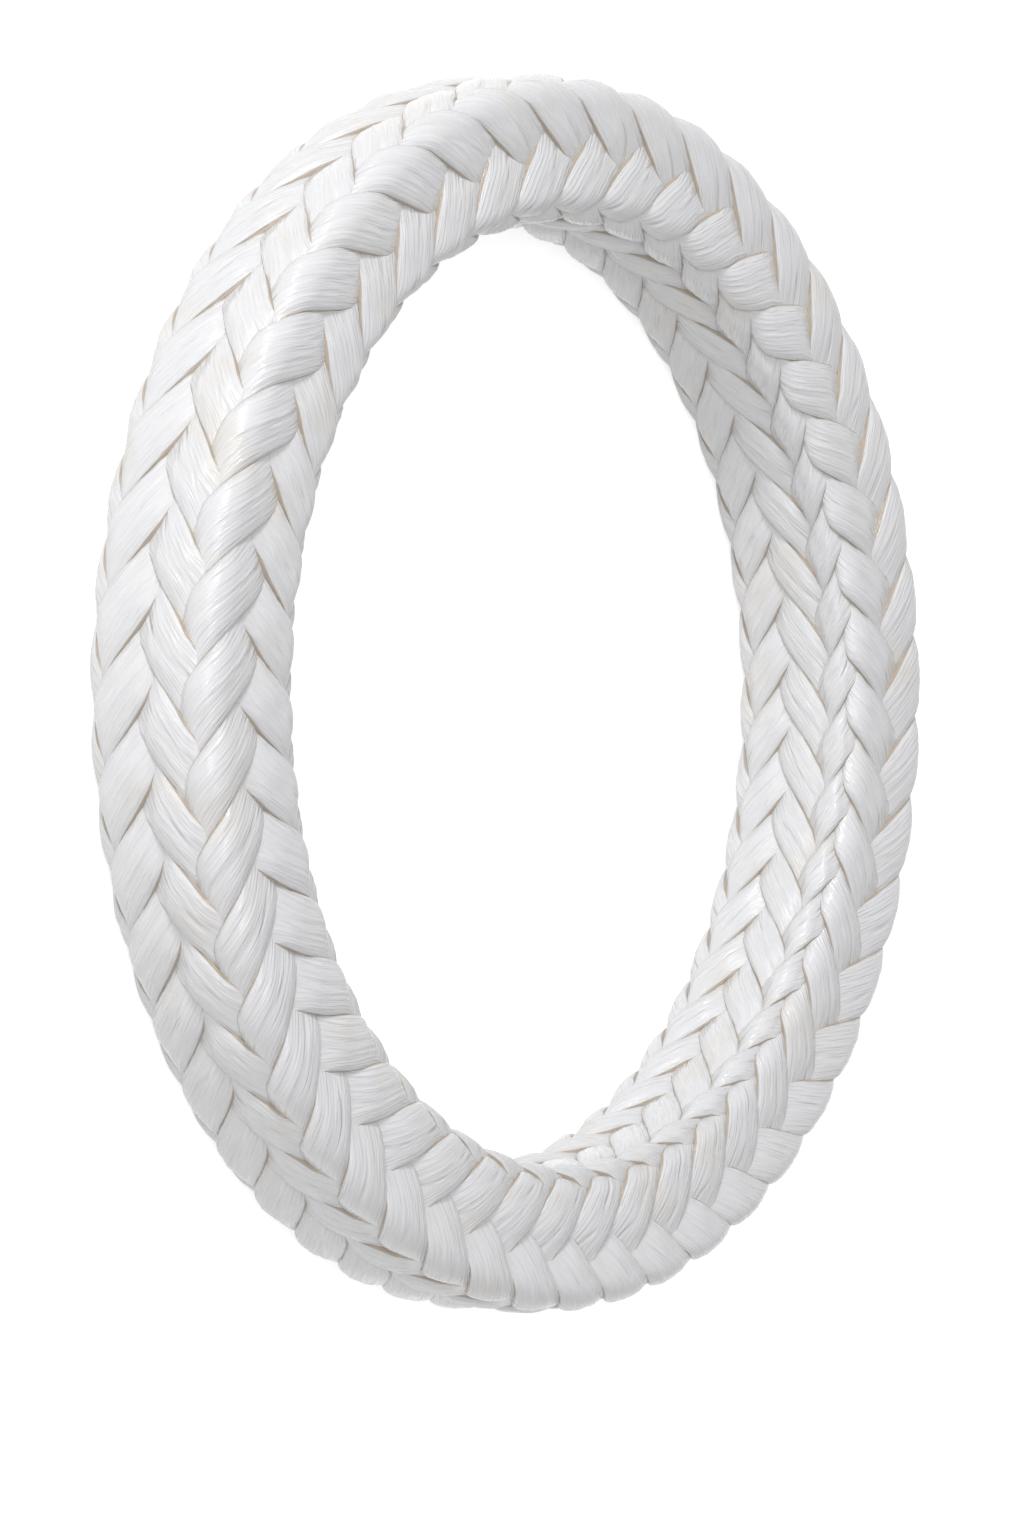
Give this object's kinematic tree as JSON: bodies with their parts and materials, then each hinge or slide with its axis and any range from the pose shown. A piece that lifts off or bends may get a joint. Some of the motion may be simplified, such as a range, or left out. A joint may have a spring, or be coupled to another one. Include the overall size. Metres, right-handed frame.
{
  "type": "gland packing ring",
  "caption": "Endless ring of square braided packing that seals a shaft or valve stem in its gland; woven herringbone faces, round bore.",
  "frame": {"origin": "on the axis of the ring, at the plane of the end face that it lies on", "axes": "+Z along the axis of the ring, from the end face that it lies on to the other; the braid has no first float, so X and Y are free"},
  "size_m": [0.1, 0.1, 0.013],
  "materials": {
    "packing_yarn": "white, smooth glossy filament yarn, plaited tight"
  },
  "bodies": {
    "root": {"packing_ring": "packing_yarn"}
  },
  "joints": []
}
